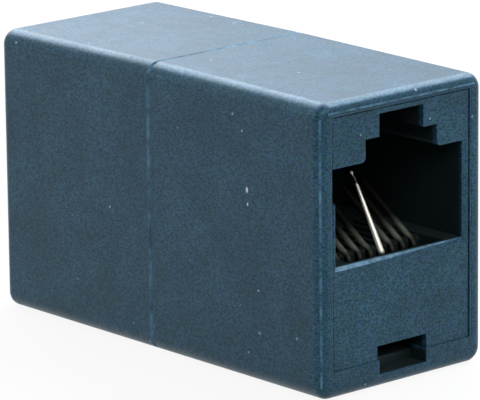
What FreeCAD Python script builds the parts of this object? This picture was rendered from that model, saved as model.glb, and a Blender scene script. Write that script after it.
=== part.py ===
import FreeCAD, Part
import math
import os
import Sketcher

# Inline coupler for eight-way modular plugs: two half shells hold two keyed jacks back to back,
# each jack holds a contact carrier, and eight spring wires run from one jack to the other.
#
# Millimetres. X runs across the coupler, Y along it (front jack at -Y), Z up.
# The origin is the middle of the bottom face.

# alias, size, meaning
SIZES = [
    ("body_length", 34.0, "overall length, jack face to jack face"),
    ("seam_offset", 0.6, "seam of the two shells behind the middle"),
    ("corner_radius", 1.1, "long edges of the shells"),
    ("rim_radius", 0.75, "edges round each jack face"),
    ("seam_bevel", 0.16, "bevel of each shell at the seam"),
    ("top_draft", 0.13, "how far the top falls from the seam to each jack face"),
    ("side_rim", 1.2, "shell rim beside the jack"),
    ("top_rim", 1.01, "shell rim above the jack, at the jack face"),
    ("bottom_rim", 1.95, "shell rim below the jack"),
    ("rim_depth", 1.6, "how far the rim reaches in"),
    ("rim_step", 0.35, "how far the rim stands in from the shell wall"),
    ("mouth_radius", 0.18, "inner edge of the rim"),
    ("tongue_length", 1.5, "lap of one shell into the other"),
    ("tongue_thickness", 0.4, "thickness of the lap"),
    ("lap_clearance", 0.05, "play of the lap"),
    ("catch_width", 5.0, "snap ridge on each side of the lap"),
    ("catch_height", 0.16, "how far a snap ridge stands out"),
    ("catch_length", 0.5, "snap ridge along the coupler"),
    ("jack_clearance", 0.05, "play of a jack in its shell"),
    ("jack_recess", 0.12, "jack face behind the shell rim"),
    ("butt_gap", 0.1, "gap between the two jacks"),
    ("edge_radius", 0.12, "outer edge of a jack face"),
    ("floor_level", 9.12, "floor of the plug cavity"),
    ("plug_width", 11.8, "plug cavity"),
    ("cheek_thickness", 0.45, "jack cheeks beside the plug cavity, inside the rim"),
    ("plug_height", 6.9, "plug cavity above its floor"),
    ("plug_depth", 12.3, "plug cavity behind the jack face"),
    ("key_width", 6.65, "wide step of the latch keyway"),
    ("key_height", 1.55, "wide step above the plug cavity"),
    ("slot_width", 4.1, "latch slot"),
    ("slot_height", 1.6, "latch slot above the wide step"),
    ("slot_roof", 0.33, "jack above the latch slot"),
    ("latch_depth", 9.0, "keyway behind the jack face"),
    ("keeper_depth", 2.2, "wall that the plug's latch hooks behind"),
    ("key_corner_radius", 0.35, "lower corners of the keyway blocks"),
    ("back_wall", 1.0, "wall behind the plug cavity"),
    ("jack_roof", 1.0, "roof of a jack over its rear recess"),
    ("side_gap_height", 2.5, "gap in the left cheek below the shoulder"),
    ("lip_thickness", 0.5, "front lip of the contact opening"),
    ("lead_in", 0.24, "bevel along the front lip and up both side walls"),
    ("front_wall", 1.5, "jack front wall below the plug cavity"),
    ("floor_thickness", 0.8, "jack floor over the contact carrier"),
    ("chamber_width", 10.9, "chamber for the contact carrier"),
    ("window_width", 8.8, "contact opening in the jack floor"),
    ("window_drop", 1.85, "contact opening below the floor level"),
    ("notch_width", 4.6, "latch notch in the jack"),
    ("notch_height", 1.0, "latch notch in the jack above the rim"),
    ("notch_depth", 3.3, "latch notch behind the jack face"),
    ("notch_side_step", 0.1, "how much narrower the notch is in the shell"),
    ("notch_drop", 0.98, "latch notch below the jack, in the shell rim"),
    ("carrier_clearance", 0.05, "play of a contact carrier in its jack"),
    ("carrier_nose_gap", 0.1, "carrier behind the jack front wall"),
    ("carrier_length", 13.2, "contact carrier"),
    ("carrier_wall", 1.0, "side walls of the cored carrier"),
    ("carrier_deck", 1.2, "carrier below its wire slots"),
    ("carrier_heel", 2.2, "solid front of the carrier"),
    ("comb_setback", 1.15, "comb ribs behind the carrier front"),
    ("comb_length", 6.1, "comb ribs between the wires"),
    ("comb_drop", 0.08, "comb ribs below the floor level"),
    ("comb_round", 0.3, "rounded front of the comb ribs"),
    ("hook_length", 1.1, "carrier latch hook in the notch"),
    ("hook_drop", 0.85, "carrier latch hook below the carrier"),
    ("hook_side_gap", 0.1, "play beside the latch hook"),
    ("wire_count", 8, "contact wires"),
    ("wire_pitch", 1.016, "spacing of the contact wires"),
    ("wire_diameter", 0.46, "contact wire"),
    ("wire_slot_width", 0.62, "slot that holds a wire"),
    ("wire_seat_gap", 0.04, "wire above the bottom of its slot"),
    ("wire_bend_radius", 0.6, "hairpin bend of a wire, centre line"),
    ("wire_bend_gap", 1.8, "hairpin bend behind the front lip"),
    ("wire_bend_drop", 0.75, "centre of the hairpin bend below the floor level"),
    ("wire_rise", 34.0, "slope of a contact, degrees"),
    ("wire_rise_length", 5.9, "free length of a contact above its bend"),
    ("wire_tip_bevel", 0.1, "bevelled end of a contact"),
    ("bent_rise", 60.5, "slope of the contact that is bent up, degrees"),
]
BENT_CONTACT = 5                # counted from -X, at the front jack
WIRE_SIDES = 12                 # a round wire drawn with flat sides
NO_TURN = "0"
HALF_TURN = "180"

doc = FreeCAD.newDocument("inline_coupler")
sheet = doc.addObject("Spreadsheet::Sheet", "Sizes")
for row, (alias, size, meaning) in enumerate(SIZES, start=1):
    sheet.set("A%d" % row, meaning)
    sheet.set("B%d" % row, str(size))
    sheet.setAlias("B%d" % row, alias)
doc.recompute()


def worked(expression):
    """The expression with every alias read from the sheet."""
    words = expression.replace("(", " ( ").replace(")", " ) ").split()
    aliases = {alias for alias, size, meaning in SIZES}
    return " ".join("Sizes." + word if word in aliases else word for word in words)


def value(expression):
    """The expression's present value."""
    return float(sheet.evalExpression(worked(expression)))


def bind(thing, prop, expression):
    thing.setExpression(prop, worked(expression))


# Heights and distances that several pieces share, as expressions of the sheet
SHOULDER = "( floor_level + plug_height )"
KEY_TOP = "( floor_level + plug_height + key_height )"
SLOT_TOP = "( floor_level + plug_height + key_height + slot_height )"
JACK_TOP = "( floor_level + plug_height + key_height + slot_height + slot_roof )"
JACK_HALF = "( plug_width / 2 + cheek_thickness )"
MOUTH_TOP = "( %s + jack_clearance )" % JACK_TOP
MOUTH_HALF = "( %s + jack_clearance )" % JACK_HALF
CAVITY_BOTTOM = "( bottom_rim - rim_step )"
CAVITY_TOP = "( %s + rim_step )" % MOUTH_TOP
CAVITY_HALF = "( %s + rim_step )" % MOUTH_HALF
BODY_TOP = "( %s + top_rim + top_draft )" % MOUTH_TOP
BODY_HALF = "( %s + side_rim )" % MOUTH_HALF
CHAMBER_FLOOR = "( bottom_rim + notch_height )"
CHAMBER_ROOF = "( floor_level - floor_thickness )"
FACE = "( body_length / 2 - jack_recess )"
LIP_BACK = "( body_length / 2 - jack_recess - lip_thickness )"
BEND_Y = "( %s - wire_bend_gap - wire_diameter / 2 - wire_bend_radius )" % LIP_BACK
WIRE_LOW = "( floor_level - wire_bend_drop - wire_bend_radius )"
SLOT_FLOOR = "( %s - wire_diameter / 2 - wire_seat_gap )" % WIRE_LOW
CARRIER_NOSE = "( body_length / 2 - jack_recess - front_wall - carrier_nose_gap )"
CARRIER_HALF = "( chamber_width / 2 - carrier_clearance )"
COMB_FRONT = "( %s - comb_setback )" % CARRIER_NOSE
COMB_BACK = "( %s - comb_length )" % COMB_FRONT


def make_body(name):
    body = doc.addObject("PartDesign::Body", name)
    body.Label = name
    return body


def make_sketch(body, name, plane, offset="0"):
    """A sketch on one of the body's origin planes, moved along the plane's normal."""
    sketch = body.newObject("Sketcher::SketchObject", body.Label + "_" + name)
    origin = next(item for item in body.Origin.OriginFeatures if item.Role == plane)
    sketch.AttachmentSupport = [(origin, "")]
    sketch.MapMode = "FlatFace"
    bind(sketch, "AttachmentOffset.Base.z", offset)
    return sketch


def dimension(sketch, name, constraint, expression):
    """Adds a dimension that follows the expression."""
    index = sketch.addConstraint(constraint)
    sketch.renameConstraint(index, name)
    bind(sketch, "Constraints." + name, expression)


def hold(sketch, axis, geometry, point, expression):
    """Dimensions a point from the sketch origin along X or Y."""
    if abs(value(expression)) < 1e-9:
        other_axis = -2 if axis == "X" else -1
        sketch.addConstraint(Sketcher.Constraint("PointOnObject", geometry, point, other_axis))
        return
    place = Sketcher.Constraint("Distance" + axis, -1, 1, geometry, point, value(expression))
    dimension(sketch, "place_%s_%d_%d" % (axis.lower(), geometry, point), place, expression)


def outline(sketch, corners):
    """A closed outline of straight edges, with each corner dimensioned from the origin."""
    places = [FreeCAD.Vector(value(x), value(y), 0) for x, y in corners]
    first = sketch.GeometryCount
    count = len(corners)
    for number, start in enumerate(places):
        sketch.addGeometry(Part.LineSegment(start, places[(number + 1) % count]))
    for number, (x, y) in enumerate(corners):
        here = first + number
        following = first + (number + 1) % count
        sketch.addConstraint(Sketcher.Constraint("Coincident", here, 2, following, 1))
        hold(sketch, "X", here, 1, x)
        hold(sketch, "Y", here, 1, y)


def box_outline(sketch, left, right, low, high):
    outline(sketch, [(left, low), (right, low), (right, high), (left, high)])


def minus(expression):
    return "0 - " + expression


def pad(body, sketch, length, reverse=False):
    feature = body.newObject("PartDesign::Pad", sketch.Name.replace(body.Name, body.Name + "_pad"))
    feature.Profile = sketch
    feature.Reversed = reverse
    bind(feature, "Length", length)
    doc.recompute()
    return feature


def pocket(body, sketch, length, reverse=False):
    """Cuts against the sketch's normal, or along it when reversed; it has to take volume away."""
    before = body.Shape.Volume
    feature = body.newObject("PartDesign::Pocket", sketch.Name.replace(body.Name, body.Name + "_cut"))
    feature.Profile = sketch
    feature.Reversed = reverse
    bind(feature, "Length", length)
    doc.recompute()
    if body.Shape.Volume > before - 1e-6:
        raise RuntimeError(feature.Name + " cuts nothing")
    return feature


def edge_names(shape, wanted):
    return ["Edge%d" % (number + 1) for number, edge in enumerate(shape.Edges) if wanted(edge)]


def ends(edge):
    return [vertex.Point for vertex in edge.Vertexes]


def fillet(body, name, wanted, radius):
    base = body.Tip
    feature = body.newObject("PartDesign::Fillet", body.Name + "_" + name)
    feature.Base = (base, edge_names(base.Shape, wanted))
    bind(feature, "Radius", radius)
    doc.recompute()


def chamfer(body, name, wanted, size):
    base = body.Tip
    feature = body.newObject("PartDesign::Chamfer", body.Name + "_" + name)
    feature.Base = (base, edge_names(base.Shape, wanted))
    bind(feature, "Size", size)
    doc.recompute()


def near(first, second):
    return abs(first - second) < 1e-4


def along_y(edge):
    start, end = ends(edge)[0], ends(edge)[-1]
    return abs(end.y - start.y) > 0.9 * (end - start).Length


def turn_about_z(body, degrees):
    """Front pieces stay as drawn; rear pieces face the other way."""
    body.Placement = FreeCAD.Placement(FreeCAD.Vector(), FreeCAD.Rotation(FreeCAD.Vector(0, 0, 1), 0))
    bind(body, "Placement.Rotation.Angle", degrees)


def add_lap(body, is_tongue):
    """Tongue of one shell, or the rebate that takes it in the other."""
    play = "0" if is_tongue else "lap_clearance"
    grow = " + tongue_thickness + " + play
    lap = make_sketch(body, "lap", "XZ_Plane")
    box_outline(lap, minus("( %s%s )" % (CAVITY_HALF, grow)), CAVITY_HALF + grow,
                CAVITY_BOTTOM + " - ( tongue_thickness + %s )" % play, CAVITY_TOP + grow)
    if is_tongue:
        box_outline(lap, minus(CAVITY_HALF), CAVITY_HALF, CAVITY_BOTTOM, CAVITY_TOP)
        pad(body, lap, "tongue_length", reverse=True)
    else:
        pocket(body, lap, "tongue_length + lap_clearance", reverse=True)


def add_catch(body, side, is_ridge):
    """Snap ridge on one side of the tongue, or the dimple that it drops into."""
    play = "0" if is_ridge else "lap_clearance"
    catch = make_sketch(body, "catch_" + side, "XY_Plane", BODY_TOP + " / 2 - catch_width / 2 - " + play)
    root = "( %s + tongue_thickness )" % CAVITY_HALF
    crest = "( %s + catch_height + %s )" % (root, play)
    if side == "left":
        root, crest = minus(root), minus(crest)
    middle = "tongue_length / 2" if is_ridge else "0 - tongue_length / 2"
    rise = "( catch_length / 2 + %s )" % play
    outline(catch, [(root, middle + " - " + rise), (crest, middle), (root, middle + " + " + rise)])
    if is_ridge:
        pad(body, catch, "catch_width")
    else:
        pocket(body, catch, "catch_width + 2 * lap_clearance", reverse=True)


def half_shell(name, length, degrees, has_tongue):
    """Four-walled half shell, drawn with its seam on Y = 0 and its jack end at -Y."""
    body = make_body(name)

    block = make_sketch(body, "block", "XZ_Plane")
    box_outline(block, minus(BODY_HALF), BODY_HALF, "0", BODY_TOP)
    pad(body, block, length)
    draft = make_sketch(body, "draft", "YZ_Plane", minus(BODY_HALF))
    outline(draft, [("0", BODY_TOP), (minus(length), BODY_TOP), (minus(length), BODY_TOP + " - top_draft")])
    pocket(body, draft, "2 * " + BODY_HALF, reverse=True)
    fillet(body, "long_edges", along_y, "corner_radius")

    cavity = make_sketch(body, "cavity", "XZ_Plane")
    box_outline(cavity, minus(CAVITY_HALF), CAVITY_HALF, CAVITY_BOTTOM, CAVITY_TOP)
    pocket(body, cavity, length + " - rim_depth", reverse=True)

    mouth = make_sketch(body, "mouth", "XZ_Plane")
    box_outline(mouth, minus(MOUTH_HALF), MOUTH_HALF, "bottom_rim", MOUTH_TOP)
    pocket(body, mouth, length, reverse=True)

    notch_half = "( notch_width / 2 - notch_side_step )"
    notch = make_sketch(body, "notch", "XZ_Plane", length)
    box_outline(notch, minus(notch_half), notch_half, "bottom_rim - notch_drop", "bottom_rim")
    pocket(body, notch, "rim_depth")

    reach = value(length)
    half = value(BODY_HALF)
    top = value(BODY_TOP)

    margin = value("corner_radius") / 2

    def outer_loop(edge, plane):
        middle = edge.CenterOfMass
        if not all(near(point.y, plane) for point in ends(edge)):
            return False
        return half - abs(middle.x) < margin or middle.z < margin or top - middle.z < margin

    fillet(body, "rim", lambda edge: outer_loop(edge, -reach), "rim_radius")
    chamfer(body, "seam", lambda edge: outer_loop(edge, 0), "seam_bevel")

    mouth_x = value(MOUTH_HALF)
    mouth_top = value(MOUTH_TOP)
    mouth_bottom = value("bottom_rim")

    def mouth_edge(edge):
        middle = edge.CenterOfMass
        if not all(near(point.y, -reach) for point in ends(edge)):
            return False
        beside = near(abs(middle.x), mouth_x) and mouth_bottom < middle.z < mouth_top
        return beside or near(middle.z, mouth_top)

    fillet(body, "mouth_edge", mouth_edge, "mouth_radius")

    add_lap(body, has_tongue)
    for side in ("left", "right"):
        add_catch(body, side, has_tongue)

    turn_about_z(body, degrees)
    bind(body, "Placement.Base.y", "seam_offset")
    return body


def keyed_jack(name, degrees):
    """Jack with its plug cavity, latch keyway, contact opening and carrier chamber."""
    body = make_body(name)

    collar_half = "( %s + rim_step )" % JACK_HALF
    collar = make_sketch(body, "collar", "XZ_Plane", "butt_gap / 2")
    box_outline(collar, minus(collar_half), collar_half, CAVITY_BOTTOM, JACK_TOP + " + rim_step")
    pad(body, collar, "body_length / 2 - rim_depth - butt_gap / 2")

    nose = make_sketch(body, "nose", "XZ_Plane", "body_length / 2 - rim_depth")
    box_outline(nose, minus(JACK_HALF), JACK_HALF, "bottom_rim", JACK_TOP)
    pad(body, nose, "rim_depth - jack_recess")

    plug_half = "( plug_width / 2 )"
    plug = make_sketch(body, "plug_cavity", "XZ_Plane", FACE)
    box_outline(plug, minus(plug_half), plug_half, "floor_level", SHOULDER)
    pocket(body, plug, "plug_depth")
    plug_x = value(plug_half)
    face_y = -value(FACE)
    floor_z = value("floor_level")

    def mouth_of_plug(edge):
        point = edge.CenterOfMass
        if not all(near(end.y, face_y) for end in ends(edge)):
            return False
        return near(point.z, floor_z) or near(abs(point.x), plug_x)

    chamfer(body, "lead_in", mouth_of_plug, "lead_in")

    key_half = "( key_width / 2 )"
    slot_half = "( slot_width / 2 )"
    keyway = make_sketch(body, "keyway", "XZ_Plane", FACE)
    outline(keyway, [(minus(key_half), SHOULDER), (key_half, SHOULDER), (key_half, KEY_TOP),
                     (slot_half, KEY_TOP), (slot_half, SLOT_TOP), (minus(slot_half), SLOT_TOP),
                     (minus(slot_half), KEY_TOP), (minus(key_half), KEY_TOP)])
    pocket(body, keyway, "latch_depth")

    latch = make_sketch(body, "latch_pocket", "XZ_Plane", FACE + " - keeper_depth")
    box_outline(latch, minus(key_half), key_half, KEY_TOP, SLOT_TOP)
    pocket(body, latch, "latch_depth - keeper_depth")

    chamber_half = "( chamber_width / 2 )"
    chamber = make_sketch(body, "chamber", "XZ_Plane", "butt_gap / 2")
    box_outline(chamber, minus(chamber_half), chamber_half, CHAMBER_FLOOR, CHAMBER_ROOF)
    pocket(body, chamber, FACE + " - front_wall - butt_gap / 2", reverse=True)

    recess = make_sketch(body, "rear_recess", "XZ_Plane", "butt_gap / 2")
    box_outline(recess, minus(chamber_half), chamber_half, CHAMBER_ROOF, JACK_TOP + " - jack_roof")
    pocket(body, recess, FACE + " - plug_depth - back_wall - butt_gap / 2", reverse=True)

    window_half = "( window_width / 2 )"
    window = make_sketch(body, "contact_opening", "XY_Plane", "floor_level")
    box_outline(window, minus(window_half), window_half,
                minus(LIP_BACK), minus(COMB_BACK) + " + carrier_clearance")
    pocket(body, window, "window_drop")

    notch_half = "( notch_width / 2 )"
    notch = make_sketch(body, "notch", "XZ_Plane", FACE)
    box_outline(notch, minus(notch_half), notch_half, CAVITY_BOTTOM, CHAMBER_FLOOR)
    pocket(body, notch, "notch_depth")

    gap = make_sketch(body, "cheek_gap", "XZ_Plane", FACE)
    box_outline(gap, minus(plug_half), minus(JACK_HALF), SHOULDER + " - side_gap_height", SHOULDER)
    pocket(body, gap, "rim_depth - jack_recess")

    key_x = value(key_half)
    shoulder_z = value(SHOULDER)

    def block_corner(edge):
        point = edge.CenterOfMass
        return along_y(edge) and near(abs(point.x), key_x) and near(point.z, shoulder_z)

    fillet(body, "block_corners", block_corner, "key_corner_radius")

    jack_x, jack_top = value(JACK_HALF), value(JACK_TOP)

    def face_edge(edge):
        point = edge.CenterOfMass
        if not all(near(end.y, face_y) for end in ends(edge)):
            return False
        return near(abs(point.x), jack_x) or near(point.z, jack_top)

    fillet(body, "face_edge", face_edge, "edge_radius")
    turn_about_z(body, degrees)
    return body


def contact_carrier(name, degrees):
    """Comb that carries the wires under the plug cavity, latched into the jack's notch."""
    body = make_body(name)

    block = make_sketch(body, "block", "XZ_Plane", CARRIER_NOSE + " - carrier_length")
    box_outline(block, minus(CARRIER_HALF), CARRIER_HALF, CHAMBER_FLOOR, CHAMBER_ROOF + " - carrier_clearance")
    pad(body, block, "carrier_length")

    comb_half = "( window_width / 2 - carrier_clearance )"
    comb = make_sketch(body, "comb", "XZ_Plane", COMB_BACK)
    box_outline(comb, minus(comb_half), comb_half, CHAMBER_ROOF + " - carrier_clearance",
                "floor_level - comb_drop")
    pad(body, comb, "comb_length")

    nose_y = -value(COMB_FRONT)
    comb_top = value("floor_level - comb_drop")

    def comb_edge(edge):
        point = edge.CenterOfMass
        return near(point.y, nose_y) and near(point.z, comb_top)

    fillet(body, "comb_nose", comb_edge, "comb_round")

    core_half = "( chamber_width / 2 - carrier_clearance - carrier_wall )"
    core = make_sketch(body, "core", "XY_Plane", CHAMBER_FLOOR)
    box_outline(core, minus(core_half), core_half, minus(CARRIER_NOSE) + " + carrier_heel",
                minus(CARRIER_NOSE) + " + carrier_length - carrier_wall")
    pocket(body, core, SLOT_FLOOR + " - carrier_deck - " + CHAMBER_FLOOR, reverse=True)

    notch_back = "( body_length / 2 - jack_recess - notch_depth )"
    hook_front = minus(notch_back) + " - carrier_clearance - hook_length"
    hook_back = minus(notch_back) + " - carrier_clearance"
    hook = make_sketch(body, "hook", "YZ_Plane", "0 - ( notch_width / 2 - hook_side_gap )")
    outline(hook, [(hook_front, CHAMBER_FLOOR), (hook_back, CHAMBER_FLOOR),
                   (hook_back, CHAMBER_FLOOR + " - hook_drop")])
    pad(body, hook, "notch_width - 2 * hook_side_gap")

    first_wire = "( 0 - wire_pitch * ( wire_count - 1 ) / 2 )"
    slot = make_sketch(body, "slot", "XY_Plane", "floor_level")
    box_outline(slot, first_wire + " - wire_slot_width / 2", first_wire + " + wire_slot_width / 2",
                minus(CARRIER_NOSE), minus(CARRIER_NOSE) + " + carrier_length")
    first_slot = pocket(body, slot, "floor_level - " + SLOT_FLOOR)
    slots = body.newObject("PartDesign::LinearPattern", name + "_slots")
    slots.Originals = [first_slot]
    slots.Direction = (slot, ["H_Axis"])
    slots.Occurrences = int(value("wire_count"))
    bind(slots, "Length", "wire_pitch * ( wire_count - 1 )")
    body.Tip = slots
    doc.recompute()

    turn_about_z(body, degrees)
    return body


def spring_end(body, end, profile, rise):
    """One end of a wire: straight from the middle, a hairpin bend, then the sloping contact."""
    angle = math.radians(value(rise))
    radius = value("wire_bend_radius")
    low = value(WIRE_LOW)
    centre = FreeCAD.Vector(-value(BEND_Y), low + radius, 0)
    leave = centre + FreeCAD.Vector(-math.sin(angle), math.cos(angle), 0) * radius
    tip = leave + FreeCAD.Vector(math.cos(angle), math.sin(angle), 0) * value("wire_rise_length")
    circle = Part.Circle(centre, FreeCAD.Vector(0, 0, 1), radius)

    path = make_sketch(body, end + "_path", "YZ_Plane")
    if end == "rear":
        path.AttachmentOffset = FreeCAD.Placement(
            FreeCAD.Vector(), FreeCAD.Rotation(FreeCAD.Vector(0, 1, 0), 180))
    path.addGeometry(Part.LineSegment(FreeCAD.Vector(0, low, 0), FreeCAD.Vector(centre.x, low, 0)))
    path.addGeometry(Part.ArcOfCircle(circle, math.pi / 2 + angle, math.pi * 3 / 2))
    path.addGeometry(Part.LineSegment(leave, tip))
    path.addConstraint(Sketcher.Constraint("Horizontal", 0))
    path.addConstraint(Sketcher.Constraint("Tangent", 0, 2, 1, 2))
    path.addConstraint(Sketcher.Constraint("Tangent", 1, 1, 2, 1))
    hold(path, "X", 0, 1, "0")
    hold(path, "Y", 0, 1, WIRE_LOW)
    hold(path, "X", 1, 3, minus(BEND_Y))
    dimension(path, "bend", Sketcher.Constraint("Radius", 1, radius), "wire_bend_radius")
    dimension(path, "reach", Sketcher.Constraint("Distance", 2, value("wire_rise_length")), "wire_rise_length")
    dimension(path, "slope", Sketcher.Constraint("Angle", 2, angle), rise + " * 1 deg")
    doc.recompute()

    pipe = body.newObject("PartDesign::AdditivePipe", "%s_%s_pipe" % (body.Name, end))
    pipe.Profile = profile
    pipe.Spine = (path, ["Edge1", "Edge2", "Edge3"])
    doc.recompute()
    turned = FreeCAD.Vector(0, tip.x, tip.y)
    if end == "rear":
        turned.y = -tip.x
    return turned


def contact_wire(number):
    """Round spring wire that is a contact in both jacks."""
    body = make_body("contact_%d" % number)
    profile = make_sketch(body, "profile", "XZ_Plane")
    radius = value("wire_diameter / 2")
    centre = FreeCAD.Vector(0, value(WIRE_LOW), 0)
    turns = [2 * math.pi * side / WIRE_SIDES for side in range(WIRE_SIDES)]
    corners = [centre + FreeCAD.Vector(math.cos(turn), math.sin(turn), 0) * radius for turn in turns]
    for side, corner in enumerate(corners):
        profile.addGeometry(Part.LineSegment(corner, corners[(side + 1) % WIRE_SIDES]))
    rim = profile.addGeometry(Part.Circle(centre, FreeCAD.Vector(0, 0, 1), radius), True)
    for side in range(WIRE_SIDES):
        profile.addConstraint(Sketcher.Constraint("Coincident", side, 2, (side + 1) % WIRE_SIDES, 1))
        profile.addConstraint(Sketcher.Constraint("PointOnObject", side, 1, rim))
        if side:
            profile.addConstraint(Sketcher.Constraint("Equal", 0, side))
    profile.addConstraint(Sketcher.Constraint("Horizontal", rim, 3, 0, 1))
    hold(profile, "X", rim, 3, "0")
    hold(profile, "Y", rim, 3, WIRE_LOW)
    dimension(profile, "thickness", Sketcher.Constraint("Diameter", rim, 2 * radius), "wire_diameter")
    doc.recompute()

    front_rise = "bent_rise" if number == BENT_CONTACT else "wire_rise"
    tips = [spring_end(body, "front", profile, front_rise), spring_end(body, "rear", profile, "wire_rise")]

    def tip_edge(edge):
        return any(all(near((point - tip).Length, radius) for point in ends(edge)) for tip in tips)

    chamfer(body, "tips", tip_edge, "wire_tip_bevel")
    bind(body, "Placement.Base.x", "wire_pitch * ( %d - ( wire_count + 1 ) / 2 )" % number)
    return body


pieces = [
    half_shell("front_shell", "( body_length / 2 + seam_offset )", NO_TURN, has_tongue=True),
    half_shell("rear_shell", "( body_length / 2 - seam_offset )", HALF_TURN, has_tongue=False),
    keyed_jack("front_jack", NO_TURN),
    keyed_jack("rear_jack", HALF_TURN),
    contact_carrier("front_carrier", NO_TURN),
    contact_carrier("rear_carrier", HALF_TURN),
]
for wire in range(int(value("wire_count"))):
    pieces.append(contact_wire(wire + 1))
doc.recompute()

for item in doc.Objects:
    if "Invalid" in item.State or "Error" in item.State:
        raise RuntimeError("%s failed: %s" % (item.Name, item.State))
for piece in pieces:
    if piece.Shape.isNull() or not piece.Shape.isValid():
        raise RuntimeError(piece.Label + " has no valid shape")

os.makedirs("parts", exist_ok=True)
for piece in pieces:
    piece.Shape.exportStep("parts/%s.step" % piece.Label)
    box = piece.Shape.BoundBox
    print("%-14s %7.1f mm3  x %6.2f..%6.2f  y %7.2f..%7.2f  z %5.2f..%5.2f  solids %d" % (
        piece.Label, piece.Shape.Volume, box.XMin, box.XMax, box.YMin, box.YMax,
        box.ZMin, box.ZMax, len(piece.Shape.Solids)))
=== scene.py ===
import bmesh
import bpy
import math
from mathutils import Matrix, Vector


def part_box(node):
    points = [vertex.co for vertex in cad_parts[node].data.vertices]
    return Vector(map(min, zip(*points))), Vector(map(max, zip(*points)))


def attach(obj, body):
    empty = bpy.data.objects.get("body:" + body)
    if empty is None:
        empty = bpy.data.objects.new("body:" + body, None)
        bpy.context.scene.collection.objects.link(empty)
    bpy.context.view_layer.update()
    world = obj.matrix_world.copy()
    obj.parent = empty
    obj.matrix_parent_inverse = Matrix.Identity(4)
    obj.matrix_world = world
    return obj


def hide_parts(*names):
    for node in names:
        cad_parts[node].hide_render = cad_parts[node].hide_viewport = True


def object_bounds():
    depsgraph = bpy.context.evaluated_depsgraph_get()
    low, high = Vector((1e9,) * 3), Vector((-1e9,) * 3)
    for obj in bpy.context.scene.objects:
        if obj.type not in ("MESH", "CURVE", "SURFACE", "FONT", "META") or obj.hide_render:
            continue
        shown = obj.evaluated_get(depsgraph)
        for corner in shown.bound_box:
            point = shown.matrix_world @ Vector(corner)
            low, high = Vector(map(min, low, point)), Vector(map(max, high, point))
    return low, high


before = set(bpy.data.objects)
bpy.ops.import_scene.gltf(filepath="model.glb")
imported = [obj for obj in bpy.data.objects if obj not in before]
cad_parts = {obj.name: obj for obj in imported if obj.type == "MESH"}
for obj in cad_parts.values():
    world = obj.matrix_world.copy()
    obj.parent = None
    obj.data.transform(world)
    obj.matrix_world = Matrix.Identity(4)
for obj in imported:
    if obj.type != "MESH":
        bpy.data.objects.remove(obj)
cad_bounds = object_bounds()

MM = 0.001


def srgb(red, green, blue):
    """A colour given as 8-bit sRGB, as a linear colour with alpha."""
    def linear(level):
        level /= 255.0
        return level / 12.92 if level <= 0.04045 else ((level + 0.055) / 1.055) ** 2.4
    return (linear(red), linear(green), linear(blue), 1.0)


def grey(level):
    return (level, level, level, 1.0)


# The photograph's view of the coupler
VIEW_YAW = math.radians(41.343)
VIEW_PITCH = math.radians(14.376)
VIEW_ROLL = math.radians(-0.635)
VIEW_DISTANCE = 317.95 * MM
VIEW_AIM = (0.203 * MM, -0.585 * MM)    # right and up from the middle of the coupler
VIEW_HEIGHT = 10.3 * MM                 # height of that middle
LENS = 337.6
SENSOR = 36.0
CLIP_START = 10.0 * MM

# The surroundings: how strongly and in what tint they fill the shade, and how bright reflections
# find them, which is brightest to the right, behind and above
FILL = 0.06
FILL_TINT = (0.9, 0.95, 1.0, 1.0)
BRIGHT_SIDE = (0.45, 0.70, 0.55)
SWEEP_STOPS = ((0.25, grey(0.12)), (0.60, grey(0.80)))

# The floor: its paper, how white it is to the eye, and how pale it is to the light it throws back
FLOOR_SIZE = 3.0
FLOOR_GAP = 0.02 * MM                   # from the floor up to the underside
FIBRE_STOPS = ((0.3, grey(0.78)), (0.7, grey(0.82)))
FLOOR_WHITE = 0.90
FLOOR_BOUNCE = grey(0.2)

WHITE_LIGHT = (1.0, 1.0, 1.0)
SKY_LIGHT = (0.85, 0.91, 1.0)

SHELLS = ["front_shell", "rear_shell"]
JACKS = ["front_jack", "rear_jack"]
CARRIERS = ["front_carrier", "rear_carrier"]
CONTACTS = sorted(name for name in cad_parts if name.startswith("contact_"))
BENT = "contact_5"
REGULAR = "contact_4"

# Places on the CAD nodes
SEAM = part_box("rear_shell")[0].y
SEAM_GROOVE = 0.16 * MM
SHELL_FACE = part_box("rear_shell")[1].y
SHELL_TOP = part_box("rear_shell")[1].z
SHELL_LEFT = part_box("front_shell")[0].x
JACK_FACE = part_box("rear_jack")[1].y
JACK_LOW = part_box("rear_jack")[0].z
JACK_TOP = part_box("rear_jack")[1].z
JACK_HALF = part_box("rear_jack")[1].x
NOTCH_HALF = 2.2 * MM
WIRE_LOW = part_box(REGULAR)[0].z

# Edges of the masks: where each one begins, and where it is full
NOTCH_ACROSS = (NOTCH_HALF + 0.10 * MM, NOTCH_HALF + 0.05 * MM)
NOTCH_DEPTH = (SHELL_FACE - 0.05 * MM, SHELL_FACE - 0.20 * MM)
NOTCH_FLOOR = (0.3 * MM, 0.4 * MM)
NOTCH_ROOF = (JACK_LOW + 0.2 * MM, JACK_LOW + 0.1 * MM)
MOUTH_ACROSS = (JACK_HALF + 0.14 * MM, JACK_HALF + 0.07 * MM)
MOUTH_DEPTH = (SHELL_FACE - 0.8 * MM, SHELL_FACE - 0.6 * MM)
MOUTH_FLOOR = (JACK_TOP - 0.05 * MM, JACK_TOP)
MOUTH_ROOF = (JACK_TOP + 0.14 * MM, JACK_TOP + 0.07 * MM)
SEAM_WIDTH = (1.3 * SEAM_GROOVE, 0.9 * SEAM_GROOVE)
SEAM_SIDES = (SHELL_TOP - 0.05 * MM, SHELL_TOP - 0.30 * MM)
SEAM_RIGHT = (SHELL_LEFT + 2.6 * MM, SHELL_LEFT + 8.6 * MM)
JACK_DEPTH = (JACK_FACE - 0.20 * MM, JACK_FACE - 0.60 * MM)
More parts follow.
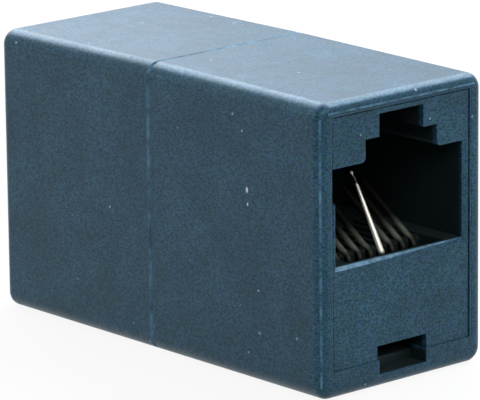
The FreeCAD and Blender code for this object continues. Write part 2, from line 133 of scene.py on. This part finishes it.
RIDGE = (0.475, 0.498)                  # of two parts of a normal multiplied, at most 0.5
SPECK_RADIUS = (0.080, 0.045)           # in cells of the specks
WIRE_REAR = (-2.0 * MM, 2.0 * MM)
WIRE_DEEP = (WIRE_LOW + 1.7 * MM, WIRE_LOW + 2.9 * MM)
NECK_FLOOR = (WIRE_LOW + 5.35 * MM, WIRE_LOW + 5.50 * MM)
NECK_ROOF = (WIRE_LOW + 6.02 * MM, WIRE_LOW + 5.92 * MM)
FOOT_FADE = 0.35 * MM                   # height over which the painted shade at a contact's foot fades

# Dust specks on the left side: distance behind the front rim, distance below the top, radius
DUST_SPECKS = ((7.35 * MM, 7.15 * MM, 0.15 * MM), (7.30 * MM, 8.15 * MM, 0.09 * MM))
DUST_SQUASH = (1.0, 1.0, 0.6)           # of the distance from a speck, which makes it tall
DUST_CORE = 0.6                         # share of a speck's radius that is fully covered

# Noise over the surfaces: spots to a metre, detail and roughness
CLOUDS = (260.0, 5.0, 0.65)
GRAIN = (5000.0, 2.0, 0.6)
HUES = (2400.0, 2.0, 0.6)
PATCHES = (1000.0, 3.0, 0.55)
SPECK_AREAS = (310.0, 1.0, 0.55)
PLASTIC_GLOSS = (900.0, 3.0, 0.55)
TARNISH_SPOTS = (700.0, 3.0, 0.55)
PLATING_GLOSS = (1500.0, 3.0, 0.55)
SCRATCHES = (6000.0, 3.0, 0.55)
FIBRES = (900.0, 3.0, 0.55)
SPECK_CELLS = 650.0                     # to a metre
GRAIN_STRETCH = (1.15, 0.85, 1.45)      # of X, Y and Z, which makes the grain uneven

PALE_WEAR_AND_HIGHLIGHT = srgb(112, 156, 184)            # plastic painted pale on its edges, as wear and as painted highlight
SPECK = srgb(170, 192, 206)
DUST = srgb(242, 248, 250)
PAINTED_WIRE_SHADE = srgb(26, 27, 22)              # wire painted dark where shade falls
SHADED_WIRE_TONE = srgb(104, 112, 98)               # darker tone of the plating, a shaded copy painted for shade
PAINTED_RECESS_SHADE = srgb(24, 34, 34)                 # plastic painted dark as shade deep in a recess

# What the noise turns into: stops of a place on the noise and a colour, or a lowest and a highest value
CLOUD_STOPS = ((0.32, grey(0.0)), (0.68, grey(1.0)))
GRAIN_STOPS = ((0.35, (0.05, 0.30, 0.36, 1.0)), (0.65, (2.15, 1.80, 1.70, 1.0)))
HUE_STOPS = ((0.38, (0.80, 1.03, 0.84, 1.0)), (0.62, (1.20, 0.97, 1.16, 1.0)))
PATCH_STOPS = ((0.40, grey(0.15)), (0.64, grey(1.0)))
SPECK_STOPS = ((0.51, grey(0.0)), (0.57, grey(0.9)))
TARNISH_PLACES = (0.35, 0.65)           # of the dull and the bright tone of a wire
SEAM_WEAR_AND_HIGHLIGHT = (0.10, 0.80)
PLASTIC_ROUGHNESS = (0.31, 0.49)

# Relief of the plastic's grain and of the scratches in the plating
RELIEF = 0.15
GRAIN_DEPTH = 0.03 * MM
SCRATCH_DEPTH = 0.01 * MM

# Settings of the shaders, by socket
PLASTIC_FINISH = {
    "Specular Tint": (0.45, 0.78, 1.0, 1.0),
    "Sheen Weight": 0.08,
    "Sheen Roughness": 0.35,
    "Sheen Tint": (0.72, 0.88, 1.0, 1.0),
}
DULL_FINISH = {"Metallic": 0.6}
BRIGHT_FINISH = {"Metallic": 0.35, "Coat Weight": 0.6, "Coat Roughness": 0.25}

# The contact that is bent up, as spring wire that thins towards its tip
WIRE_RADIUS = (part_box(BENT)[1].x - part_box(BENT)[0].x) / 2
WIRE_SIDES = 20
BEND_RADIUS = 0.6 * MM
BEND_STEPS = 16
WIRE_RISE = 5.9 * MM                    # free length of a contact above its bend
RISE_SHARES = (0.25, 0.5, 0.75, 1.0)    # rings of the wire along that length
SLOPE = math.radians(34.0)
BENT_SLOPE = math.radians(60.5)
THIN = 0.42                             # share of the wire's radius left at its neck
NECK = 0.75 * MM                        # thin stretch before the tip
NECK_TURN = math.radians(9.0)           # how far the neck leans back
BEAD_RADIUS = 0.12 * MM
BEAD_SHARES = (0.15, 0.3, 0.5, 0.7, 0.88, 0.97)     # rings of the bead along its half turn
BEAD_END = 0.2                          # share of the bead's radius left where it closes
REAR_TIP = 0.8                          # share of the wire's radius left at its rear tip

# Welding, edges and shading of the CAD nodes
WELD_DISTANCE = 0.001 * MM
JACK_EDGE = 0.03 * MM
EDGE_SEGMENTS = 2
EDGE_ANGLE = math.radians(50)
SMOOTH_ANGLE = math.radians(38)

# Sockets of a Mix node in its colour mode
MIX_FACTOR = 0
MIX_FIRST = 6
MIX_SECOND = 7
MIX_RESULT = 2


class Nodes:
    """The node tree of a material or a world, with short calls for the nodes used here."""

    def __init__(self, owner):
        self.owner = owner
        self.owner.use_nodes = True
        self.tree = owner.node_tree
        self.tree.nodes.clear()

    def add(self, kind, sockets=None, **settings):
        """A new node with some settings, its input sockets fed by name or number."""
        node = self.tree.nodes.new(kind)
        for key, setting in settings.items():
            setattr(node, key, setting)
        for socket, given in (sockets or {}).items():
            if isinstance(given, bpy.types.NodeSocket):
                self.tree.links.new(given, node.inputs[socket])
            else:
                node.inputs[socket].default_value = given
        return node

    def place(self):
        return self.add("ShaderNodeTexCoord").outputs["Object"]

    def axes(self, vector):
        """The parts X, Y and Z of a vector."""
        return self.add("ShaderNodeSeparateXYZ", {0: vector}).outputs

    def vector(self, operation, first, second):
        return self.add("ShaderNodeVectorMath", {0: first, 1: second}, operation=operation).outputs["Vector"]

    def noise(self, vector, pattern):
        scale, detail, roughness = pattern
        sockets = {"Vector": vector, "Scale": scale, "Detail": detail, "Roughness": roughness}
        return self.add("ShaderNodeTexNoise", sockets).outputs["Fac"]

    def ramp(self, factor, stops):
        """The colour between two stops, each a place on the factor and a colour."""
        node = self.add("ShaderNodeValToRGB", {"Fac": factor})
        for element, (place, colour) in zip(node.color_ramp.elements, stops):
            element.position = place
            element.color = colour
        return node.outputs["Color"]

    def mix(self, factor, first, second, blend="MIX"):
        sockets = {MIX_FACTOR: factor, MIX_FIRST: first, MIX_SECOND: second}
        return self.add("ShaderNodeMix", sockets, data_type="RGBA", blend_type=blend).outputs[MIX_RESULT]

    def math(self, operation, first, second=0.0):
        return self.add("ShaderNodeMath", {0: first, 1: second}, operation=operation).outputs[0]

    def unsigned(self, value):
        return self.math("ABSOLUTE", value)

    def product(self, first, *others):
        """Masks multiplied: 1 where all of them are."""
        for other in others:
            first = self.math("MULTIPLY", first, other)
        return first

    def spread(self, value, limits, start=0.0):
        """A value that runs from the first limit to the second while the given one runs from start to 1."""
        low, high = limits
        sockets = {"Value": value, "From Min": start, "To Min": low, "To Max": high}
        return self.add("ShaderNodeMapRange", sockets).outputs["Result"]

    def band(self, value, limits):
        """0 where a value is at or beyond the first limit, rising to 1 at the second."""
        outside, inside = limits
        sockets = {"Value": value, "From Min": outside, "From Max": inside}
        return self.add("ShaderNodeMapRange", sockets, interpolation_type="SMOOTHSTEP").outputs["Result"]

    def within(self, place, across, depth, floor, roof):
        """1 inside a box mirrored in X and in Y, fading out at its faces, which are limits of bands."""
        x, y, z = self.axes(place)
        return self.product(self.band(self.unsigned(x), across), self.band(self.unsigned(y), depth),
                            self.band(z, floor), self.band(z, roof))

    def ridges(self, weights):
        """1 on roundings and bevels half way between two faces of the box, 0 on the faces.

        The weights are for edges along Z, along X and along Y.
        """
        x, y, z = self.axes(self.add("ShaderNodeTexCoord").outputs["Normal"])
        total = 0.0
        for (first, second), weight in zip(((x, y), (y, z), (z, x)), weights):
            between = self.unsigned(self.product(first, second))
            total = self.math("MAXIMUM", self.product(self.band(between, RIDGE), weight), total)
        return total

    def either(self, factor, first, second):
        """The first shader where the factor is 0, the second where it is 1."""
        return self.add("ShaderNodeMixShader", {0: factor, 1: first.outputs[0], 2: second.outputs[0]})

    def finish(self, shader, output="ShaderNodeOutputMaterial"):
        """Ends the tree with a shader, and gives the material or the world."""
        self.add(output, {"Surface": shader.outputs[0]})
        return self.owner


def in_notch(nodes, place):
    """1 on the walls of the latch notches in the shell rims, which are painted dark as shade."""
    return nodes.within(place, NOTCH_ACROSS, NOTCH_DEPTH, NOTCH_FLOOR, NOTCH_ROOF)


def mouth_edge(nodes, place):
    """1 on the shell's edge over each jack, where a highlight is painted, 0 on its outer faces."""
    return nodes.within(place, MOUTH_ACROSS, MOUTH_DEPTH, MOUTH_FLOOR, MOUTH_ROOF)


def near_seam(nodes, place):
    """1 in the groove between the two shells, but 0 where the groove crosses the left of the top."""
    x, y, z = nodes.axes(place)
    away = nodes.unsigned(nodes.math("SUBTRACT", y, SEAM))
    # The groove is painted pale, as wear and as painted highlight, only on the sides and the right of the
    # top
    pale_sides = nodes.math("MAXIMUM", nodes.band(z, SEAM_SIDES), nodes.band(x, SEAM_RIGHT))
    return nodes.product(nodes.band(away, SEAM_WIDTH), pale_sides)


def dusty(nodes, place):
    """1 on the bright dust specks of the left side, which are taller than wide."""
    total = 0.0
    for behind, below, radius in DUST_SPECKS:
        middle = (SHELL_LEFT, behind - SHELL_FACE, SHELL_TOP - below)
        offset = nodes.vector("MULTIPLY", nodes.vector("SUBTRACT", place, middle), DUST_SQUASH)
        away = nodes.add("ShaderNodeVectorMath", {0: offset}, operation="LENGTH").outputs["Value"]
        total = nodes.math("MAXIMUM", nodes.band(away, (radius, DUST_CORE * radius)), total)
    return total


def inside_jack(nodes, place):
    """1 on everything behind a jack's face, 0 on the face itself; it marks where shade is painted dark."""
    return nodes.band(nodes.unsigned(nodes.axes(place)["Y"]), JACK_DEPTH)


def surface(nodes, colour, roughness, relief, depth, finish):
    """The material, with its colour, roughness and relief from nodes and the rest set on the shader."""
    bump = nodes.add("ShaderNodeBump", {"Height": relief, "Strength": RELIEF, "Distance": depth})
    sockets = {"Base Color": colour, "Roughness": roughness, "Normal": bump.outputs["Normal"], **finish}
    return nodes.finish(nodes.add("ShaderNodeBsdfPrincipled", sockets))


def moulded_plastic(name, pale, deep, pale_edges, specular=0.5, shell=False):
    """Fine-grained moulded plastic, cloudy and a little dusty, with shade painted dark in its recesses.

    The pale_edges say how much its edges along Z, along X and along Y are painted pale, as wear and as
    painted highlight.
    """
    nodes = Nodes(bpy.data.materials.new(name))
    place = nodes.place()
    body = nodes.mix(nodes.ramp(nodes.noise(place, CLOUDS), CLOUD_STOPS), deep, pale)
    grain = nodes.noise(nodes.vector("MULTIPLY", place, GRAIN_STRETCH), GRAIN)
    body = nodes.mix(1.0, body, nodes.ramp(grain, GRAIN_STOPS), blend="MULTIPLY")
    hue = nodes.ramp(nodes.noise(place, HUES), HUE_STOPS)
    body = nodes.mix(1.0, body, hue, blend="MULTIPLY")

    patchy = nodes.ramp(nodes.noise(place, PATCHES), PATCH_STOPS)
    wear_and_highlight = nodes.product(nodes.ridges(pale_edges), patchy)
    if shell:
        seam_wear_and_highlight = nodes.product(near_seam(nodes, place), nodes.spread(patchy, SEAM_WEAR_AND_HIGHLIGHT))
        mouth_highlight = nodes.product(mouth_edge(nodes, place), patchy)
        wear_and_highlight = nodes.math("MAXIMUM", wear_and_highlight, nodes.math("MAXIMUM", seam_wear_and_highlight, mouth_highlight))
    # Roundings, bevels and the seam's groove are painted pale as wear and as painted highlight, and the
    # shell's edge over each jack as painted highlight
    body = nodes.mix(wear_and_highlight, body, PALE_WEAR_AND_HIGHLIGHT)

    cells = nodes.add("ShaderNodeTexVoronoi", {"Vector": place, "Scale": SPECK_CELLS}, feature="F1")
    speck = nodes.band(cells.outputs["Distance"], SPECK_RADIUS)
    some = nodes.ramp(nodes.noise(place, SPECK_AREAS), SPECK_STOPS)
    body = nodes.mix(nodes.product(speck, some), body, SPECK)
    if shell:
        body = nodes.mix(dusty(nodes, place), body, DUST)
    # The latch notches of the shells and everything behind a jack's face are painted dark as shade
    body = nodes.mix(in_notch(nodes, place) if shell else inside_jack(nodes, place), body, PAINTED_RECESS_SHADE)

    roughness = nodes.spread(nodes.noise(place, PLASTIC_GLOSS), PLASTIC_ROUGHNESS)
    finish = {**PLASTIC_FINISH, "Specular IOR Level": specular}
    return surface(nodes, body, roughness, grain, GRAIN_DEPTH, finish)


def wire_plating(name, dull, bright, roughness, foot_height, finish, bent=False):
    """Plating on spring wire, unevenly tarnished, with shade painted dark round the foot of each contact.

    A regular contact also has shade painted dark towards its tips, deep in the jacks. The bent one takes the
    shaded copy's tone in the rear jack, and has shade painted dark at its neck.
    """
    nodes = Nodes(bpy.data.materials.new(name))
    place = nodes.place()
    height = nodes.axes(place)["Z"]
    tone = nodes.ramp(nodes.noise(place, TARNISH_SPOTS), zip(TARNISH_PLACES, (dull, bright)))
    foot_top = WIRE_LOW + foot_height
    # Painted shade round the foot of each contact
    tone = nodes.mix(nodes.band(height, (foot_top, foot_top - FOOT_FADE)), tone, PAINTED_WIRE_SHADE)
    if bent:
        # In the rear jack the bent wire takes the shaded copy's tone
        tone = nodes.mix(nodes.band(nodes.axes(place)["Y"], WIRE_REAR), tone, SHADED_WIRE_TONE)
        # Painted shade at the bent wire's neck
        dark = nodes.product(nodes.band(height, NECK_FLOOR), nodes.band(height, NECK_ROOF))
    else:
        # Painted shade towards a regular contact's tips, deep in the jack
        dark = nodes.band(height, WIRE_DEEP)
    tone = nodes.mix(dark, tone, PAINTED_WIRE_SHADE)
    gloss = nodes.spread(nodes.noise(place, PLATING_GLOSS), roughness)
    return surface(nodes, tone, gloss, nodes.noise(place, SCRATCHES), SCRATCH_DEPTH, finish)


def smooth_by_angle(limit):
    """A node group that shades smooth, with sharp edges where faces meet at more than the limit."""
    group = bpy.data.node_groups.new("smooth_by_angle", "GeometryNodeTree")
    group.interface.new_socket("Geometry", in_out="INPUT", socket_type="NodeSocketGeometry")
    group.interface.new_socket("Geometry", in_out="OUTPUT", socket_type="NodeSocketGeometry")
    entry = group.nodes.new("NodeGroupInput")
    leave = group.nodes.new("NodeGroupOutput")
    faces = group.nodes.new("GeometryNodeSetShadeSmooth")
    edges = group.nodes.new("GeometryNodeSetShadeSmooth")
    edges.domain = "EDGE"
    angle = group.nodes.new("GeometryNodeInputMeshEdgeAngle")
    gentle = group.nodes.new("FunctionNodeCompare")
    gentle.operation = "LESS_THAN"
    gentle.inputs[1].default_value = limit
    group.links.new(entry.outputs[0], faces.inputs["Geometry"])
    group.links.new(faces.outputs["Geometry"], edges.inputs["Geometry"])
    group.links.new(angle.outputs["Unsigned Angle"], gentle.inputs[0])
    group.links.new(gentle.outputs[0], edges.inputs["Shade Smooth"])
    group.links.new(edges.outputs["Geometry"], leave.inputs[0])
    return group


def dress(names, material, shading_group, edge_round=0.0):
    """Gives CAD nodes their finish, their softened edges and their shading."""
    for name in names:
        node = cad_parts[name]
        for entry in node.material_slots:
            entry.material = material
        weld = node.modifiers.new("weld", "WELD")
        weld.merge_threshold = WELD_DISTANCE
        if edge_round:
            bevel = node.modifiers.new("edge_round", "BEVEL")
            bevel.width = edge_round
            bevel.segments = EDGE_SEGMENTS
            bevel.limit_method = "ANGLE"
            bevel.angle_limit = EDGE_ANGLE
        shading = node.modifiers.new("shading", "NODES")
        shading.node_group = shading_group
        normals = node.modifiers.new("normals", "WEIGHTED_NORMAL")
        normals.keep_sharp = True


def turned(angle, length):
    """A step of some length in the plane of Y and Z, at an angle to +Y."""
    return Vector((0.0, math.cos(angle), math.sin(angle))) * length


def wire_end(bend, slope, reach):
    """Centre line of a wire's front end: round the hairpin bend, then straight up the contact."""
    sweep = math.pi - slope
    points = [bend + turned(-math.pi / 2 - sweep * step / BEND_STEPS, BEND_RADIUS)
              for step in range(BEND_STEPS + 1)]
    return points + [points[-1] + turned(slope, reach * share) for share in RISE_SHARES]


def skin(name, points, radii):
    """A round tube along points that lie in one plane across X, closed at both ends."""
    mesh = bmesh.new()
    rings = []
    for index, (point, radius) in enumerate(zip(points, radii)):
        after = points[min(index + 1, len(points) - 1)]
        before = points[max(index - 1, 0)]
        across = (after - before).normalized().cross(Vector((1.0, 0.0, 0.0)))
        ring = []
        for side in range(WIRE_SIDES):
            turn = 2 * math.pi * side / WIRE_SIDES
            out = Vector((math.cos(turn), 0.0, 0.0)) + across * math.sin(turn)
            ring.append(mesh.verts.new(point + out * radius))
        rings.append(ring)
    for ring, following in zip(rings, rings[1:]):
        for side in range(WIRE_SIDES):
            after = (side + 1) % WIRE_SIDES
            mesh.faces.new((ring[side], ring[after], following[after], following[side]))
    mesh.faces.new(rings[0])
    mesh.faces.new(reversed(rings[-1]))
    bmesh.ops.recalc_face_normals(mesh, faces=mesh.faces)
    data = bpy.data.meshes.new(name)
    mesh.to_mesh(data)
    mesh.free()
    data.shade_smooth()
    piece = bpy.data.objects.new(name, data)
    bpy.context.scene.collection.objects.link(piece)
    return piece


def build_bent_contact(plating):
    """The wire that is bent up in the front jack.

    It thins to a neck that leans back, with a bead at its tip.
    """
    low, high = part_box(BENT)
    outside = WIRE_RADIUS + BEND_RADIUS
    bend = Vector(((low.x + high.x) / 2, low.y + outside, WIRE_LOW + outside))
    front = wire_end(bend, BENT_SLOPE, WIRE_RISE - NECK)
    radii = [WIRE_RADIUS] * (len(front) - len(RISE_SHARES))
    radii += [WIRE_RADIUS * (1 - (1 - THIN) * share) for share in RISE_SHARES]
    lean = BENT_SLOPE - NECK_TURN
    bead = front[-1] + turned(lean, NECK - BEAD_RADIUS)
    for share in BEAD_SHARES:
        angle = math.pi * share
        front.append(bead + turned(lean, -math.cos(angle) * BEAD_RADIUS))
        radii.append(max(math.sin(angle), BEAD_END) * BEAD_RADIUS)
    rear = wire_end(bend, SLOPE, WIRE_RISE)
    for point in rear:
        point.y = -point.y
    path = front[::-1] + rear
    widths = radii[::-1] + [WIRE_RADIUS] * (len(rear) - 1) + [REAR_TIP * WIRE_RADIUS]
    piece = skin("bent_contact", path, widths)
    piece.data.materials.append(plating)
    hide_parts(BENT)
    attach(piece, "root")


def look_from_photograph():
    """The camera, placed by the photograph's angles round the middle of the coupler."""
    low, high = cad_bounds
    middle = (Vector(low) + Vector(high)) / 2
    middle.z = VIEW_HEIGHT
    back = Vector((-math.sin(VIEW_YAW) * math.cos(VIEW_PITCH),
                   -math.cos(VIEW_YAW) * math.cos(VIEW_PITCH), math.sin(VIEW_PITCH)))
    level = Vector((math.cos(VIEW_YAW), -math.sin(VIEW_YAW), 0.0))
    upright = back.cross(level)
    right = level * math.cos(VIEW_ROLL) + upright * math.sin(VIEW_ROLL)
    up = upright * math.cos(VIEW_ROLL) - level * math.sin(VIEW_ROLL)
    data = bpy.data.cameras.new("camera")
    data.lens = LENS
    data.sensor_width = SENSOR
    data.clip_start = CLIP_START
    camera = bpy.data.objects.new("camera", data)
    bpy.context.scene.collection.objects.link(camera)
    place = middle + back * VIEW_DISTANCE + right * VIEW_AIM[0] + up * VIEW_AIM[1]
    turn = Matrix((right, up, back)).transposed()
    camera.matrix_world = Matrix.Translation(place) @ turn.to_4x4()
    bpy.context.scene.camera = camera


def soft_box(name, place, size, radiance, colour):
    """A lamp that faces the coupler and glows evenly."""
    width, height = size
    data = bpy.data.lights.new(name, "AREA")
    data.shape = "RECTANGLE"
    data.size = width
    data.size_y = height
    data.energy = radiance * math.pi * width * height
    data.color = colour
    lamp = bpy.data.objects.new(name, data)
    bpy.context.scene.collection.objects.link(lamp)
    lamp.location = place
    aim = Vector((0.0, 0.0, VIEW_HEIGHT)) - Vector(place)
    lamp.rotation_euler = aim.to_track_quat("-Z", "Y").to_euler()


def seen_directly(nodes):
    """1 for camera, glossy and transmission rays, 0 for rays of diffuse light."""
    rays = nodes.add("ShaderNodeLightPath").outputs
    seen = nodes.math("MAXIMUM", rays["Is Camera Ray"], rays["Is Glossy Ray"])
    return nodes.math("MAXIMUM", seen, rays["Is Transmission Ray"])


def white_world():
    """White to the eye, dimmer in reflections of the left, front and below, and a weak fill."""
    nodes = Nodes(bpy.data.worlds.new("studio"))
    direction = nodes.add("ShaderNodeTexCoord").outputs["Generated"]
    sockets = {0: direction, 1: BRIGHT_SIDE}
    toward = nodes.add("ShaderNodeVectorMath", sockets, operation="DOT_PRODUCT").outputs["Value"]
    sweep = nodes.ramp(nodes.spread(toward, (0.0, 1.0), start=-1.0), SWEEP_STOPS)
    to_the_eye = nodes.add("ShaderNodeLightPath").outputs["Is Camera Ray"]
    white = nodes.add("ShaderNodeBackground", {"Color": nodes.mix(to_the_eye, sweep, grey(1.0))})
    fill = nodes.add("ShaderNodeBackground", {"Color": FILL_TINT, "Strength": FILL})
    look = nodes.either(seen_directly(nodes), fill, white)
    bpy.context.scene.world = nodes.finish(look, "ShaderNodeOutputWorld")


def paper_floor():
    """A pale floor that looks white, keeps a soft shadow and throws little light back."""
    bpy.ops.mesh.primitive_plane_add(size=FLOOR_SIZE, location=(0.0, 0.0, -FLOOR_GAP))
    floor = bpy.context.object
    floor.name = "floor"
    nodes = Nodes(bpy.data.materials.new("floor_paper"))
    direct = seen_directly(nodes)
    fibre = nodes.ramp(nodes.noise(nodes.place(), FIBRES), FIBRE_STOPS)
    paper = nodes.add("ShaderNodeBsdfDiffuse", {"Color": nodes.mix(direct, FLOOR_BOUNCE, fibre)})
    white = nodes.add("ShaderNodeEmission", {"Color": grey(1.0)})
    look = nodes.either(nodes.product(direct, FLOOR_WHITE), paper, white)
    floor.data.materials.append(nodes.finish(look))


def studio():
    """The surroundings and five soft boxes.

    Three are behind and to the right, for the top and its rims, and two weaker ones light the front
    and the left side.
    """
    white_world()
    paper_floor()
    soft_box("back_box", (0.13, 0.36, 0.325), (0.34, 0.34), radiance=6.1, colour=SKY_LIGHT)
    soft_box("right_box", (0.335, 0.10, 0.375), (0.36, 0.36), radiance=6.5, colour=SKY_LIGHT)
    soft_box("rim_box", (0.36, -0.06, 0.42), (0.22, 0.22), radiance=6.0, colour=SKY_LIGHT)
    soft_box("front_box", (-0.16, -0.50, 0.40), (0.95, 0.26), radiance=3.5, colour=WHITE_LIGHT)
    soft_box("side_box", (-0.46, 0.26, 0.22), (0.30, 0.30), radiance=2.0, colour=WHITE_LIGHT)


def dress_coupler():
    """Gives each CAD node its finish, and puts a rounder wire in place of the bent contact."""
    shading_group = smooth_by_angle(SMOOTH_ANGLE)
    shell_plastic = moulded_plastic(
        "shell_plastic", pale=srgb(40, 76, 97), deep=srgb(22, 54, 71), pale_edges=(0.7, 0.35, 0.0), shell=True)
    jack_plastic = moulded_plastic(
        "jack_plastic", pale=srgb(43, 80, 102), deep=srgb(26, 58, 76), pale_edges=(0.15, 0.8, 0.0))
    # The carriers lie wholly inside the jacks, and are painted dark all over as shade
    carrier_plastic = moulded_plastic(
        "carrier_plastic", pale=PAINTED_RECESS_SHADE, deep=PAINTED_RECESS_SHADE, pale_edges=(0.0, 0.0, 0.0), specular=0.1)
    # The regular contacts get a darker, shaded copy of the plating and the bent one a pale, lit copy:
    # painted shade and painted light
    shaded_plating = wire_plating(
        "shaded_plating", dull=SHADED_WIRE_TONE, bright=srgb(136, 144, 130), roughness=(0.40, 0.52),
        foot_height=1.70 * MM, finish=DULL_FINISH)
    lit_plating = wire_plating(
        "lit_plating", dull=srgb(250, 246, 226), bright=srgb(255, 254, 246), roughness=(0.30, 0.40),
        foot_height=1.25 * MM, finish=BRIGHT_FINISH, bent=True)

    dress(SHELLS, shell_plastic, shading_group)
    dress(JACKS, jack_plastic, shading_group, edge_round=JACK_EDGE)
    dress(CARRIERS, carrier_plastic, shading_group)
    dress([name for name in CONTACTS if name != BENT], shaded_plating, shading_group)
    build_bent_contact(lit_plating)


bpy.context.scene.view_settings.view_transform = "Standard"
dress_coupler()
studio()
look_from_photograph()
